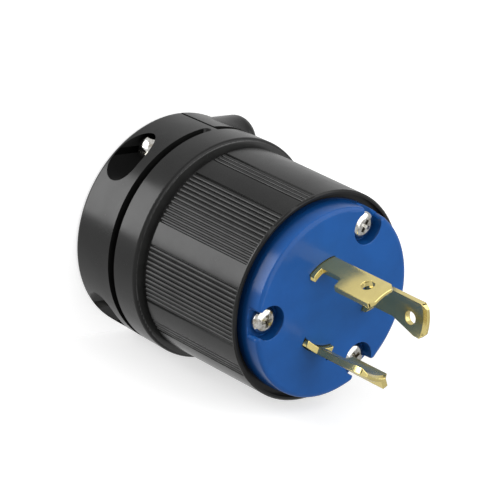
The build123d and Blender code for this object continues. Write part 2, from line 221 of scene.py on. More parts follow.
def mix(tree, share, first, second, blend="MIX"):
    """Colour from a new Mix node, whose sockets for colours are told apart by their places."""
    inputs = {0: share, 6: first, 7: second}
    return add(tree, "ShaderNodeMix", inputs, data_type="RGBA", blend_type=blend), 2


def new_tree(name, kind, inputs, outputs):
    """New node group with its input and output nodes, each socket given by its default or its kind."""
    kinds = {tuple: "Color", float: "Float", int: "Int"}
    tree = bpy.data.node_groups.new(name, kind)
    for way, sockets in (("INPUT", inputs), ("OUTPUT", outputs)):
        for label, told in sockets.items():
            sort = told if isinstance(told, str) else kinds[type(told)]
            made = tree.interface.new_socket(label, in_out=way, socket_type="NodeSocket" + sort)
            if sort != told:
                made.default_value = told
    return tree, add(tree, "NodeGroupInput"), add(tree, "NodeGroupOutput")


# Mesh helpers


def show(name, mesh):
    """New object at the origin that holds a finished mesh."""
    piece = bpy.data.objects.new(name, mesh)
    bpy.context.scene.collection.objects.link(piece)
    return piece


def show_shape(name, shape):
    """New object at the origin from a shape, which is then freed."""
    mesh = bpy.data.meshes.new(name)
    shape.to_mesh(mesh)
    shape.free()
    return show(name, mesh)


def shape_of(mesh):
    """Shape for editing, from a mesh."""
    shape = bmesh.new()
    shape.from_mesh(mesh)
    return shape


def bake(piece):
    """Turn an object's evaluated mesh into its own and remove its modifiers."""
    bpy.context.view_layer.update()
    graph = bpy.context.evaluated_depsgraph_get()
    mesh = bpy.data.meshes.new_from_object(piece.evaluated_get(graph), depsgraph=graph)
    mesh.name = piece.name
    piece.modifiers.clear()
    piece.data = mesh


def drop(piece):
    """Remove a helper object."""
    bpy.data.objects.remove(piece, do_unlink=True)


def carve(piece, tool, operation):
    """Cut, join or trim a piece with a tool, which is then removed."""
    cut = piece.modifiers.new("carve", "BOOLEAN")
    cut.operation = operation
    cut.solver = "EXACT"
    cut.object = tool
    bake(piece)
    drop(tool)


def merged_copy(node):
    """Copy of a CAD node's mesh with its loose triangles joined."""
    shape = shape_of(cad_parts[node].data)
    bmesh.ops.remove_doubles(shape, verts=shape.verts, dist=2e-6)
    return shape


def clamp(share):
    """Share kept between nought and one."""
    return min(1.0, max(0.0, share))


def draw_in(spot, step):
    """Move a vertex towards the axis."""
    share = 1 - step / math.hypot(spot.co.x, spot.co.y)
    spot.co.x *= share
    spot.co.y *= share


def from_screw(place, screws):
    """Distance of a place from the axis, and its turn from the nearest face screw."""
    aside = math.atan2(place.y, place.x) - screws.face_turn
    return math.hypot(place.x, place.y), math.remainder(aside, 2 * math.pi / screws.face_count)


def ease(shape, wanted):
    """Join flat triangles into whole faces, and mark the crisp edges that pass a test for rounding."""
    bmesh.ops.dissolve_limit(
        shape, angle_limit=math.radians(0.15), verts=shape.verts, edges=shape.edges, delimit={"SHARP"}
    )
    marks = shape.edges.layers.float.new("bevel_weight_edge")
    for edge in shape.edges:
        if edge.is_manifold and abs(edge.calc_face_angle_signed()) > math.radians(35) and wanted(edge):
            edge[marks] = 1.0


def close_slots(shape, height, reach, step):
    """Draw the mouths of the blade slots in towards the blades."""
    shape.normal_update()
    moves = []
    for spot in shape.verts:
        if abs(spot.co.z - height) > 1e-5 or math.hypot(spot.co.x, spot.co.y) > reach:
            continue
        walls = []
        for face in spot.link_faces:
            if abs(face.normal.z) < 0.1 and all(face.normal.dot(other) < 0.97 for other in walls):
                walls.append(face.normal.copy())
        if len(walls) == 1:
            moves.append((spot, walls[0] * step))
        elif walls:
            moves.append((spot, (walls[0] + walls[1]) * step / (1 + walls[0].dot(walls[1]))))
    for spot, move in moves:
        spot.co += move


def true_normals(mesh):
    """Give faces that are turned about the axis, or flat across it, the normals of the exact surface."""
    normals = [corner.vector.copy() for corner in mesh.corner_normals]
    for face in mesh.polygons:
        lean = face.normal.z
        middle = Vector((face.center.x, face.center.y, 0.0))
        turned = 0.0
        if middle.length > 1e-6:
            turned = face.normal.dot(middle.normalized())
        if abs(lean) > 0.9998:
            for corner in face.loop_indices:
                normals[corner] = face.normal.copy()
        elif abs(turned) > 0.985:
            across = math.copysign(math.sqrt(1.0 - lean * lean), turned)
            for corner in face.loop_indices:
                spot = mesh.vertices[mesh.loops[corner].vertex_index].co
                out = Vector((spot.x, spot.y, 0.0)).normalized() * across
                normals[corner] = Vector((out.x, out.y, lean))
    mesh.normals_split_custom_set(normals)


def split_flats(mesh):
    """Split faces of many corners into well-shaped triangles."""
    shape = shape_of(mesh)
    many = [face for face in shape.faces if len(face.verts) > 4]
    bmesh.ops.triangulate(shape, faces=many, quad_method="BEAUTY", ngon_method="BEAUTY")
    shape.to_mesh(mesh)
    shape.free()


def smooth(mesh, degrees):
    """Shade a mesh smooth, apart from the edges that turn by more than an angle."""
    mesh.shade_smooth()
    mesh.set_sharp_from_angle(angle=math.radians(degrees))


def smooth_piece(name, shape, finish, width=0.0, cutter=None):
    """Object from a shape, cut if need be, shaded smooth, its marked edges rounded, its other edges kept."""
    piece = show_shape(name, shape)
    if cutter:
        carve(piece, cutter, "DIFFERENCE")
    smooth(piece.data, 32)
    piece.data.materials.clear()
    piece.data.materials.append(finish)
    if width > 0.0:
        bevel = piece.modifiers.new("edge", "BEVEL")
        bevel.width = width
        bevel.segments = 2
        bevel.limit_method = "WEIGHT"
        bevel.use_clamp_overlap = False
        bevel.harden_normals = True
        bake(piece)
        split_flats(piece.data)
    true_normals(piece.data)
    return piece


def paint_shading_shares(mesh, depth):
    """Give each corner of a mesh the share of painted shade that the moulded finish lays there, which paints
    light below nought.
    """
    shares = mesh.attributes.new("hollow", "FLOAT", "CORNER")
    for face in mesh.polygons:
        for corner in face.loop_indices:
            spot = mesh.vertices[mesh.loops[corner].vertex_index].co
            shares.data[corner].value = depth(face, spot)


def skin_rings(shape, rings):
    """Add the faces between rings of vertices, of which one may be a single vertex on the axis."""
    for lower, upper in zip(rings, rings[1:]):
        steps = max(len(lower), len(upper))
        for step in range(steps):
            after = (step + 1) % steps
            if len(lower) == 1:
                shape.faces.new((lower[0], upper[after], upper[step]))
            elif len(upper) == 1:
                shape.faces.new((lower[step], lower[after], upper[0]))
            else:
                shape.faces.new((lower[step], lower[after], upper[after], upper[step]))


def lathe(name, profile, steps=48):
    """Closed object turned about Z from radius and height pairs, either from axis to axis or round a loop."""
    shape = bmesh.new()
    rings = []
    for radius, height in profile:
        if radius < 1e-7:
            rings.append([shape.verts.new((0.0, 0.0, height))])
            continue
        ring = []
        for step in range(steps):
            angle = 2 * math.pi * step / steps
            ring.append(shape.verts.new((radius * math.cos(angle), radius * math.sin(angle), height)))
        rings.append(ring)
    skin_rings(shape, rings)
    bmesh.ops.remove_doubles(shape, verts=shape.verts, dist=1e-7)
    bmesh.ops.recalc_face_normals(shape, faces=shape.faces)
    return show_shape(name, shape)


def band(name, inner, outer, low, high):
    """Closed ring about Z between two radii and two heights."""
    return lathe(name, [(inner, low), (outer, low), (outer, high), (inner, high), (inner, low)], 160)


def loft(name, levels):
    """Closed object through flat outlines of as many corners each, paired with heights from low to high."""
    shape = bmesh.new()
    rings = [[shape.verts.new((x, y, height)) for x, y in corners] for corners, height in levels]
    shape.faces.new(rings[0][::-1])
    shape.faces.new(rings[-1])
    skin_rings(shape, rings)
    bmesh.ops.recalc_face_normals(shape, faces=shape.faces)
    return show_shape(name, shape)


def prism(name, corners, low, high, draft=0.0):
    """Closed object raised along Z from a flat outline, its top drawn in or out by a share."""
    return loft(name, [(corners, low), ([(x * (1 + draft), y * (1 + draft)) for x, y in corners], high)])


def hexagon(flats):
    """Corners of a hexagon of a given width over flats, and their distance from its middle."""
    reach = flats / math.sqrt(3)
    angles = [math.radians(60 * step) for step in range(6)]
    return [(reach * math.cos(angle), reach * math.sin(angle)) for angle in angles], reach


def gate_tool(levels, half, bend, facing, side):
    """Tool that rounds one corner of a pocket's gate where it breaks through the face's wall.

    The levels pair the wall's radius with a height. Half is half the gate's width, bend the corner's radius.
    """
    spare = 0.0012
    steps = 8
    outlines = []
    for wall, height in levels:
        along = math.sqrt((wall - bend) ** 2 - (half + bend) ** 2)
        last = math.atan2(half + bend, along)
        outline = []
        for step in range(steps + 1):
            angle = (last + math.pi / 2) * step / steps - math.pi / 2
            outline.append((along + bend * math.cos(angle), half + bend + bend * math.sin(angle)))
        outline += [(wall + spare, half + bend), (wall + spare, half - spare), (along, half - spare)]
        outlines.append(([(x, side * y) for x, y in outline], height))
    tool = loft("gate_corner", outlines)
    tool.data.transform(Matrix.Rotation(facing, 4, "Z"))
    return tool


# Shader groups and finishes


def skin_group():
    """Shader group for a moulded surface: cloudy tone, fine grain, patches of handling, and painted shade in
    hollows that also dims the specular, turning to painted light where the share is below nought.
    """
    known = bpy.data.node_groups.get("Moulded skin")
    if known:
        return known
    inputs = {"Tone": (0.02, 0.02, 0.02, 1), "Rubbed Tone": (0.05, 0.05, 0.05, 1), "Specular": 0.5}
    inputs |= {"Grain Scale": 5200.0, "Cloud Scale": 160.0, "Smooth": 0.36, "Rough": 0.5}
    outputs = {"Color": "Color", "Roughness": "Float", "Specular": "Float", "Height": "Float"}
    tree, given, result = new_tree("Moulded skin", "ShaderNodeTree", inputs, outputs)
    place = (add(tree, "ShaderNodeTexCoord"), "Object")
    fine = {"Vector": place, "Scale": (given, "Grain Scale"), "Detail": 3.0}
    grain = add(tree, "ShaderNodeTexNoise", fine)
    coarse = {"Vector": place, "Scale": (given, "Cloud Scale"), "Detail": 5.0, "Roughness": 0.6}
    cloud = add(tree, "ShaderNodeTexNoise", coarse)
    patch = add(tree, "ShaderNodeMapRange", {"Value": cloud, "From Min": 0.38, "From Max": 0.66})
    blend = mix(tree, patch, (given, "Tone"), (given, "Rubbed Tone"))
    limits = {"From Min": 0.3, "From Max": 0.7, "To Min": (given, "Rough"), "To Max": (given, "Smooth")}
    gloss = add(tree, "ShaderNodeMapRange", {"Value": cloud} | limits)
    # Painted shade from a mesh attribute: it darkens the colour and dims the specular where the share is
    # above nought, and paints light where it is below nought
    hollow = (add(tree, "ShaderNodeAttribute", attribute_name="hollow"), "Fac")
    light = add(tree, "ShaderNodeMapRange", {"Value": hollow, "To Min": 1.0, "To Max": 0.30}, clamp=False)
    shaded = mix(tree, 1.0, blend, light, "MULTIPLY")
    specular_in_shade = reckon(tree, "MULTIPLY", (given, "Specular"), light)
    feed(result, {"Color": shaded, "Roughness": gloss, "Specular": specular_in_shade, "Height": grain})
    return tree


def rolled_group():
    """Shader group for rolled or turned metal: drawn lines along the axis, with duller patches."""
    known = bpy.data.node_groups.get("Rolled metal")
    if known:
        return known
    inputs = {"Tone": (0.7, 0.6, 0.3, 1), "Dull Tone": (0.5, 0.4, 0.2, 1), "Stretch": 0.04}
    inputs |= {"Line Scale": 2600.0, "Patch Scale": 260.0, "Smooth": 0.2, "Rough": 0.36}
    outputs = {"Color": "Color", "Roughness": "Float", "Height": "Float"}
    tree, given, result = new_tree("Rolled metal", "ShaderNodeTree", inputs, outputs)
    place = (add(tree, "ShaderNodeTexCoord"), "Object")
    drawn = add(tree, "ShaderNodeCombineXYZ", {"X": 1.0, "Y": 1.0, "Z": (given, "Stretch")})
    along = add(tree, "ShaderNodeVectorMath", {0: place, 1: drawn}, operation="MULTIPLY")
    fine = {"Vector": along, "Scale": (given, "Line Scale"), "Detail": 4.0}
    lines = add(tree, "ShaderNodeTexNoise", fine)
    coarse = {"Vector": place, "Scale": (given, "Patch Scale"), "Detail": 6.0, "Roughness": 0.65}
    patch = add(tree, "ShaderNodeTexNoise", coarse)
    spread = add(tree, "ShaderNodeMapRange", {"Value": patch, "From Min": 0.42, "From Max": 0.72})
    blend = mix(tree, spread, (given, "Tone"), (given, "Dull Tone"))
    limits = {"From Min": 0.3, "From Max": 0.7, "To Min": (given, "Smooth"), "To Max": (given, "Rough")}
    gloss = add(tree, "ShaderNodeMapRange", {"Value": lines} | limits)
    feed(result, {"Color": blend, "Roughness": gloss, "Height": lines})
    return tree


def dressed(name, group, values, relief, metallic, specular=0.5):
    """Material whose colour, roughness and relief come from a shader group."""
    known = bpy.data.materials.get(name)
    if known:
        return known
    finish = bpy.data.materials.new(name)
    finish.use_nodes = True
    tree = finish.node_tree
    shader = tree.nodes["Principled BSDF"]
    use = add(tree, "ShaderNodeGroup", values, node_tree=group)
    grain = {"Strength": relief[0], "Distance": relief[1], "Height": (use, "Height")}
    bump = add(tree, "ShaderNodeBump", grain)
    feed(shader, {"Metallic": metallic, "Specular IOR Level": specular, "Normal": bump})
    feed(shader, {"Base Color": (use, "Color"), "Roughness": (use, "Roughness")})
    if "Specular" in use.inputs:
        feed(use, {"Specular": specular})
        feed(shader, {"Specular IOR Level": (use, "Specular")})
    finish.diffuse_color = values["Tone"]
    return finish


def shade(colour, share):
    """Colour made lighter or darker by a share, with full alpha."""
    return tuple(min(1.0, part * share) for part in colour) + (1.0,)


def moulded(name, setting, rubbed, specular, values, relief=(0.08, 0.00001)):
    """Moulded finish in a set colour, its rubbed patches lighter or darker by a share."""
    colour = getattr(bpy.context.scene.plug_finish, setting)
    tones = {"Tone": shade(colour, 1.0), "Rubbed Tone": shade(colour, rubbed)}
    return dressed(name, skin_group(), tones | values, relief, 0.0, specular)


def black_nylon():
    """Satin black moulding with a fine grain."""
    return moulded("black_moulding", "black", 1.35, 0.22, {"Smooth": 0.19, "Rough": 0.28})


def ribbed_nylon():
    """Black moulding of the ribs, a little duller where hands turn it."""
    return moulded("ribbed_moulding", "black", 1.6, 0.23, {"Smooth": 0.26, "Rough": 0.38})


def blue_nylon():
    """Semi-gloss blue moulding of the face."""
    values = {"Grain Scale": 4200.0, "Cloud Scale": 120.0, "Smooth": 0.16, "Rough": 0.24}
    return moulded("blue_moulding", "blue", 1.16, 0.22, values)


def pale_nylon():
    """Natural moulding of the terminal block."""
    return moulded("pale_moulding", "pale", 0.9, 0.5, {"Smooth": 0.4, "Rough": 0.55}, (0.3, 0.00004))


def brass():
    """Rolled brass of the blades, drawn along the plug, a little dulled."""
    colour = bpy.context.scene.plug_finish.brass
    values = {"Tone": shade(colour, 1.0), "Dull Tone": shade(colour, 0.9), "Smooth": 0.19, "Rough": 0.25}
    return dressed("rolled_brass", rolled_group(), values, (0.06, 0.000008), 0.86)


def plated_steel():
    """Bright plated steel of the screws and nuts, with darker patches."""
    finish = bpy.context.scene.plug_finish
    values = {"Tone": shade(finish.plate, 1.0), "Dull Tone": shade(finish.stain, 1.0), "Stretch": 0.6}
    values |= {"Line Scale": 3200.0, "Patch Scale": 650.0, "Smooth": 0.08, "Rough": 0.17}
    return dressed("bright_plate", rolled_group(), values, (0.05, 0.000008), 1.0)


def green_steel():
    """Green-dyed ground terminal screw."""
    colour = bpy.context.scene.plug_finish.green
    values = {"Tone": shade(colour, 1.0), "Dull Tone": shade(colour, 0.7), "Stretch": 0.6}
    values |= {"Patch Scale": 600.0, "Smooth": 0.28, "Rough": 0.42}
    return dressed("green_dye", rolled_group(), values, (0.06, 0.000008), 1.0)


# Geometry Nodes trees


def ring_points_tree():
    """Points turned about the axis one after another, and the turn of each."""
    known = bpy.data.node_groups.get("Turned points")
    if known:
        return known
    inputs = {"Radius": 0.02, "First Turn": 0.0, "Pitch": 0.1, "Count": 3, "Height": 0.0}
    outputs = {"Points": "Geometry", "Rotation": "Rotation"}
    tree, given, result = new_tree("Turned points", "GeometryNodeTree", inputs, outputs)
    line = add(tree, "GeometryNodeMeshLine", {"Count": (given, "Count")})
    index = add(tree, "GeometryNodeInputIndex")
    angle = reckon(tree, "MULTIPLY_ADD", index, (given, "Pitch"), (given, "First Turn"))
    across = reckon(tree, "MULTIPLY", reckon(tree, "COSINE", angle), (given, "Radius"))
    along = reckon(tree, "MULTIPLY", reckon(tree, "SINE", angle), (given, "Radius"))
    spot = add(tree, "ShaderNodeCombineXYZ", {"X": across, "Y": along, "Z": (given, "Height")})
    euler = add(tree, "ShaderNodeCombineXYZ", {"Z": angle})
    rotation = add(tree, "FunctionNodeEulerToRotation", {"Euler": euler})
    moved = add(tree, "GeometryNodeSetPosition", {"Geometry": line, "Position": spot})
    feed(result, {"Points": moved, "Rotation": rotation})
    return tree


def rib_field_tree():
    """One field of rounded ribs side by side on the grip."""
    known = bpy.data.node_groups.get("Rib field")
    if known:
        return known
    inputs = {"Radius": 0.0254, "Middle Turn": 0.0, "Pitch": 0.045, "Count": 12}
    inputs |= {"Base": 0.024, "Run": 0.03, "Width": 0.001, "Depth": 0.0005}
    tree, given, result = new_tree("Rib field", "GeometryNodeTree", inputs, {"Ribs": "Geometry"})
    half = reckon(tree, "MULTIPLY", reckon(tree, "SUBTRACT", (given, "Count"), 1.0), 0.5)
    back = reckon(tree, "MULTIPLY", half, (given, "Pitch"))
    first = reckon(tree, "SUBTRACT", (given, "Middle Turn"), back)
    places = {name: (given, name) for name in ("Radius", "Pitch", "Count")}
    places |= {"First Turn": first, "Height": (given, "Base")}
    points = add(tree, "GeometryNodeGroup", places, node_tree=ring_points_tree())
    bar_size = {"Vertices": 20, "Radius": 1.0, "Depth": 1.0}
    bar = add(tree, "GeometryNodeMeshCylinder", bar_size, fill_type="NGON")
    half_width = reckon(tree, "MULTIPLY", (given, "Width"), 0.5)
    half_run = reckon(tree, "MULTIPLY", (given, "Run"), 0.5)
    sink = reckon(tree, "MULTIPLY", (given, "Depth"), -1.0)
    stretch = add(tree, "ShaderNodeCombineXYZ", {"X": (given, "Depth"), "Y": half_width, "Z": (given, "Run")})
    inward = add(tree, "ShaderNodeCombineXYZ", {"X": sink, "Z": half_run})
    laid = add(tree, "GeometryNodeTransform", {"Geometry": bar, "Translation": inward, "Scale": stretch})
    repeat = {"Points": (points, "Points"), "Rotation": (points, "Rotation"), "Instance": laid}
    feed(result, {"Ribs": add(tree, "GeometryNodeInstanceOnPoints", repeat)})
    return tree


def end_tree(tree, given, result, source):
    """Turn a node's geometry into a plain mesh in the tree's finish, and hand it out."""
    solid = add(tree, "GeometryNodeRealizeInstances", {"Geometry": source})
    painted = add(tree, "GeometryNodeSetMaterial", {"Geometry": solid, "Material": (given, "Finish")})
    feed(result, {"Geometry": painted})
    return tree


def grip_ribs_tree():
    """All rib fields of the grip: four about one grip axis, and the same half a turn round."""
    shared = ("Radius", "Pitch", "Base", "Run", "Width", "Depth")
    inputs = {name: 0.001 for name in shared} | {"Axis": 0.0, "Finish": "Material"}
    inputs |= {"Main Offset": 0.4, "Main Count": 12, "Short Offset": 0.9, "Short Count": 3}
    tree, given, result = new_tree("Grip ribs", "GeometryNodeTree", inputs, {"Geometry": "Geometry"})
    side = add(tree, "GeometryNodeJoinGeometry")
    for field, sign in (("Main", 1.0), ("Main", -1.0), ("Short", 1.0), ("Short", -1.0)):
        middle = reckon(tree, "MULTIPLY_ADD", (given, field + " Offset"), sign, (given, "Axis"))
        sizes = {name: (given, name) for name in shared}
        sizes |= {"Middle Turn": middle, "Count": (given, field + " Count")}
        feed(side, {"Geometry": add(tree, "GeometryNodeGroup", sizes, node_tree=rib_field_tree())})
    half_turn = add(tree, "GeometryNodeTransform", {"Geometry": side, "Rotation": (0.0, 0.0, math.pi)})
    both = add(tree, "GeometryNodeJoinGeometry", {"Geometry": side})
    feed(both, {"Geometry": half_turn})
    return end_tree(tree, given, result, both)


def screw_ring_tree():
    """One screw repeated about the axis."""
    places = {"Radius": 0.02, "First Turn": 0.0, "Pitch": 2.0, "Count": 3, "Height": 0.0}
    inputs = places | {"Screw": "Object", "Finish": "Material"}
    tree, given, result = new_tree("Screw ring", "GeometryNodeTree", inputs, {"Geometry": "Geometry"})
    sizes = {name: (given, name) for name in places}
    points = add(tree, "GeometryNodeGroup", sizes, node_tree=ring_points_tree())
    source = add(tree, "GeometryNodeObjectInfo", {"Object": (given, "Screw")})
    repeat = {name: (points, name) for name in ("Points", "Rotation")}
    repeat["Instance"] = (source, "Geometry")
    return end_tree(tree, given, result, add(tree, "GeometryNodeInstanceOnPoints", repeat))


def clamp_pair_tree():
    """One fastener of the cord clamp repeated on both sides of the cord."""
    inputs = {"Fastener": "Object", "Offset": 0.02, "Height": 0.005, "Finish": "Material"}
    tree, given, result = new_tree("Clamp pair", "GeometryNodeTree", inputs, {"Geometry": "Geometry"})
    start = add(tree, "ShaderNodeCombineXYZ", {"Y": (given, "Offset"), "Z": (given, "Height")})
    step = add(tree, "ShaderNodeCombineXYZ", {"Y": reckon(tree, "MULTIPLY", (given, "Offset"), -2.0)})
    line = add(tree, "GeometryNodeMeshLine", {"Count": 2, "Start Location": start, "Offset": step})
    source = add(tree, "GeometryNodeObjectInfo", {"Object": (given, "Fastener")})
    repeat = {"Points": line, "Instance": (source, "Geometry")}
    return end_tree(tree, given, result, add(tree, "GeometryNodeInstanceOnPoints", repeat))


def grown(name, tree, values):
    """Piece made by a Geometry Nodes tree and turned into a plain mesh."""
    piece = show(name, bpy.data.meshes.new(name))
    nodes = piece.modifiers.new("grow", "NODES")
    nodes.node_group = tree
    for item in tree.interface.items_tree:
        if item.item_type == "SOCKET" and item.in_out == "INPUT" and item.name in values:
            nodes[item.identifier] = values[item.name]
    bake(piece)
    if not piece.data.polygons:
        raise RuntimeError(f"{name} came out empty")
    return piece


# Operators, one for each piece or group of like pieces


class PLUG_OT_housing(bpy.types.Operator):
    """Black housing, lowered under the ribs and opened at its rim for the face's skirt"""

    bl_idname = "plug.housing"
    bl_label = "Housing"

    def execute(self, context):
        grip = context.scene.plug_grip
        screws = context.scene.plug_fasteners
        margin = 0.0001
        rim_share = 0.15
        waist_run = 0.0019
        waist_inner = 0.0235
        waist_outer = 0.0266
        fields = ((grip.main_offset, grip.main_count), (grip.short_offset, grip.short_count))
        shape = merged_copy("housing")
        for spot in shape.verts:
            reach = math.hypot(spot.co.x, spot.co.y)
            height = spot.co.z - grip.base
            if reach < grip.radius - margin or not -margin < height < grip.run:
                continue
            aside = abs(math.remainder(math.atan2(spot.co.y, spot.co.x) - grip.axis, math.pi))
            if any(abs(aside - middle) < grip.pitch * ribs / 2 for middle, ribs in fields):
                draw_in(spot, grip.depth if height < grip.run / 2 else grip.depth * rim_share)
        cutter = band("cap_seat", grip.mouth_inner, grip.mouth, RIM - grip.mouth_depth, RIM + 0.001)
        piece = smooth_piece("housing_shell", shape, black_nylon(), cutter=cutter)

        def depth(face, spot):
            """Painted shade or, below nought, painted light in the clamp screws' pockets and on the waist,
            the same over a whole face.
            """
            middle = face.center
            across = abs(abs(middle.y) - screws.clamp_offset + grip.pocket_half) - grip.pocket_half
            away = math.hypot(max(0.0, across), middle.z - screws.clamp_height)
            wall = abs(away - grip.pocket_radius) < 0.00008 and abs(face.normal.x) < 0.3
            foot = away < grip.pocket_radius and face.normal.x < -0.9
            if middle.x < 0.0 and (wall or foot):
                return grip.upper_shade if middle.y > 0.0 else grip.lower_shade
            below = grip.base - middle.z
            reach = math.hypot(middle.x, middle.y)
            if margin < below < waist_run and waist_inner < reach < waist_outer:
                return grip.waist_shade
            return 0.0

        # Painted shade in the upper clamp pocket, painted light in the lower pocket and on the waist
        paint_shading_shares(piece.data, depth)
        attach(piece, "root")
        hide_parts("housing")
        return {"FINISHED"}


class PLUG_OT_ribs(bpy.types.Operator):
    """Rounded ribs along the grip"""

    bl_idname = "plug.ribs"
    bl_label = "Grip ribs"

    def execute(self, context):
        grip = context.scene.plug_grip
        keys = ("Radius", "Pitch", "Base", "Run", "Width", "Depth", "Axis")
        keys += ("Main Offset", "Main Count", "Short Offset", "Short Count")
        values = {key: getattr(grip, key.lower().replace(" ", "_")) for key in keys}
        piece = grown("grip_ribs", grip_ribs_tree(), values | {"Finish": ribbed_nylon()})
        smooth(piece.data, 50)
        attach(piece, "root")
        return {"FINISHED"}


class PLUG_OT_clamp(bpy.types.Operator):
    """Moving jaw of the cord clamp"""

    bl_idname = "plug.clamp"
    bl_label = "Cord clamp"

    def execute(self, context):
        piece = smooth_piece("clamp_jaw", merged_copy("cord_clamp"), black_nylon())
        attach(piece, "root")
        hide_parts("cord_clamp")
        return {"FINISHED"}


class PLUG_OT_face(bpy.types.Operator):
    """Blue face with its slots and screw pockets, and the skirt round its foot"""

    bl_idname = "plug.face"
    bl_label = "Face"

    def execute(self, context):
        sizes = context.scene.plug_face
        screws = context.scene.plug_fasteners
        pitch = 2 * math.pi / screws.face_count

        # Where the slots, the wall, the edge of the flat and the gates lie, and how far they are drawn in
        slot_reach = 0.0146
        slot_draw = 0.00022
        seam = 0.00005
        wall_from = 0.0224
        foot_from = 0.0232
        wall_draw = 0.00045
        wall_low = 0.02310
        wall_high = 0.02291
        edge_from = 0.0233
        edge_blend = 0.0008
        edge_draw = 0.00060
        edge_round = 0.0008
        gate_half = 0.0031
        gate_round = 0.0009
        gate_depth = 0.0030
        gate_clear = 0.0038
        gate_blend = 0.0025
        corner_from = 0.0213
        corner_inner = 0.0027
        corner_outer = 0.0050
        outside_from = 0.0215

        shape = merged_copy("face_cap")
        top = max(spot.co.z for spot in shape.verts)
        close_slots(shape, top, slot_reach, slot_draw)

        # The wall and its foot are drawn in, and clear of the gates the edge of the flat a little further
        for spot in shape.verts:
            reach, aside = from_screw(spot.co, screws)
            above = spot.co.z - RIM
            if reach > wall_from and above > seam or reach > foot_from and above > -seam:
                clear = clamp((abs(aside) * reach - gate_clear) / gate_blend)
                inner = clamp((edge_from - reach) / edge_blend)
                draw_in(spot, wall_draw + edge_draw * clear * inner)

        # The corners of the gates follow the wall up and round its edge
        levels = [(wall_low, top - gate_depth), (wall_high, top - edge_round)]
        for step in range(1, 5):
            bow = math.radians(20 * step)
            inward = edge_round * (1 - math.cos(bow))
            levels.append((wall_high - inward, top - edge_round * (1 - math.sin(bow))))
        levels.append((levels[-1][0], top + 0.0005))
        blank = show_shape("face_blank", shape)
        for step in range(screws.face_count):
            facing = screws.face_turn + step * pitch
            for side in (1, -1):
                carve(blank, gate_tool(levels, gate_half, gate_round, facing, side), "DIFFERENCE")
        shape = shape_of(blank.data)
        drop(blank)
        bmesh.ops.remove_doubles(shape, verts=shape.verts, dist=3e-5)
        bmesh.ops.dissolve_degenerate(shape, edges=shape.edges, dist=1e-5)

        def plain(edge):
            """True for an edge of the face that is clear of the gates' rounded corners."""
            for spot in edge.verts:
                reach, aside = from_screw(spot.co, screws)
                across = abs(reach * math.sin(aside))
                if spot.co.z < RIM or reach > corner_from and corner_inner < across < corner_outer:
                    return False
            return True

        ease(shape, plain)
        piece = smooth_piece("face_plate", shape, blue_nylon(), context.scene.plug_finish.mould_round)

        def depth(face, spot):
            """Some painted shade in the screw pockets, and more painted shade on the wall towards the seam
            with the rim.
            """
            middle = face.center
            reach, aside = from_screw(middle, screws)
            away = math.hypot(reach * math.cos(aside) - screws.face_circle, reach * math.sin(aside))
            wall = abs(away - sizes.pocket_radius) < 0.0001 and abs(face.normal.z) < 0.3
            foot = away < sizes.pocket_radius + 0.0002 and face.normal.z > 0.9
            if wall or foot and middle.z < SCREWS_HIGH.z - 0.0005:
                return sizes.pocket_shade
            out = face.normal.x * middle.x + face.normal.y * middle.y
            if reach > outside_from and out > 0.8 * reach:
                return sizes.wall_shade * clamp(1.0 - (spot.z - RIM) / sizes.wall_fade)
            return 0.0

        # Painted shade in the screw pockets and on the wall towards the rim
        paint_shading_shares(piece.data, depth)
        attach(piece, "root")
        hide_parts("face_cap")
        outer = sizes.skirt_outer - wall_draw
        skirt = band("face_skirt", sizes.skirt_inner, outer, RIM - sizes.skirt_depth, RIM + sizes.skirt_rise)
        smooth(skirt.data, 50)
        skirt.data.materials.append(blue_nylon())
        true_normals(skirt.data)
        # Painted shade all over the skirt
        paint_shading_shares(skirt.data, lambda face, spot: sizes.skirt_shade)
        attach(skirt, "root")
        return {"FINISHED"}


class PLUG_OT_blades(bpy.types.Operator):
    """Three brass blades with their edges eased"""

    bl_idname = "plug.blades"
    bl_label = "Blades"

    def execute(self, context):
        for node in ("ground_blade", "line_blade_1", "line_blade_2"):
            shape = merged_copy(node)
            ease(shape, lambda edge: min(spot.co.z for spot in edge.verts) > RIM)
            piece = smooth_piece(node + "_formed", shape, brass(), context.scene.plug_finish.blade_round)
            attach(piece, "root")
            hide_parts(node)
        return {"FINISHED"}


class PLUG_OT_face_screws(bpy.types.Operator):
    """Pan-head screws with cross recesses, one in each pocket of the face"""

    bl_idname = "plug.face_screws"
    bl_label = "Face screws"

    def execute(self, context):
        sizes = context.scene.plug_fasteners
        top = SCREWS_HIGH.z - SCREWS_LOW.z
        seat = top - sizes.head_height
        radius = sizes.head_radius
        shank = sizes.shank_radius
        rise = sizes.head_height * 0.42
        dome = (sizes.head_height - rise) * 0.94
        crown = 0.38
        profile = [(0.0, 0.0), (shank * 0.7, 0.0), (shank, 0.0005), (shank, seat)]
        profile += [(radius * 0.96, seat), (radius, seat + 0.00012), (radius, seat + rise)]
        for step in range(1, 9):
            angle = math.radians(90 * step / 8)
            across = radius * (crown + (1 - crown) * math.cos(angle))
            profile.append((across, seat + rise + dome * math.sin(angle)))
        profile.append((0.0, top))
        screw = lathe("pan_screw", profile)

        # The recess narrows towards its foot
        foot_share = 0.62
        half = sizes.recess_span / 2 * foot_share
        arm = sizes.recess_width / 2 * foot_share
        cross = [(half, -arm), (half, arm), (arm, arm), (arm, half), (-arm, half), (-arm, arm)]
        cross += [(-half, arm), (-half, -arm), (-arm, -arm), (-arm, -half), (arm, -half), (arm, -arm)]
        carve(screw, prism("cross", cross, top - sizes.recess_depth, top + 0.0004, 0.7), "DIFFERENCE")
        smooth(screw.data, 28)
        values = {
            "Screw": screw,
            "Radius": sizes.face_circle,
            "First Turn": sizes.face_turn,
            "Pitch": 2 * math.pi / sizes.face_count,
            "Count": sizes.face_count,
            "Height": SCREWS_LOW.z,
            "Finish": plated_steel(),
        }
        piece = grown("face_screw_set", screw_ring_tree(), values)
        drop(screw)
        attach(piece, "root")
        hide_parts("face_screws")
        return {"FINISHED"}


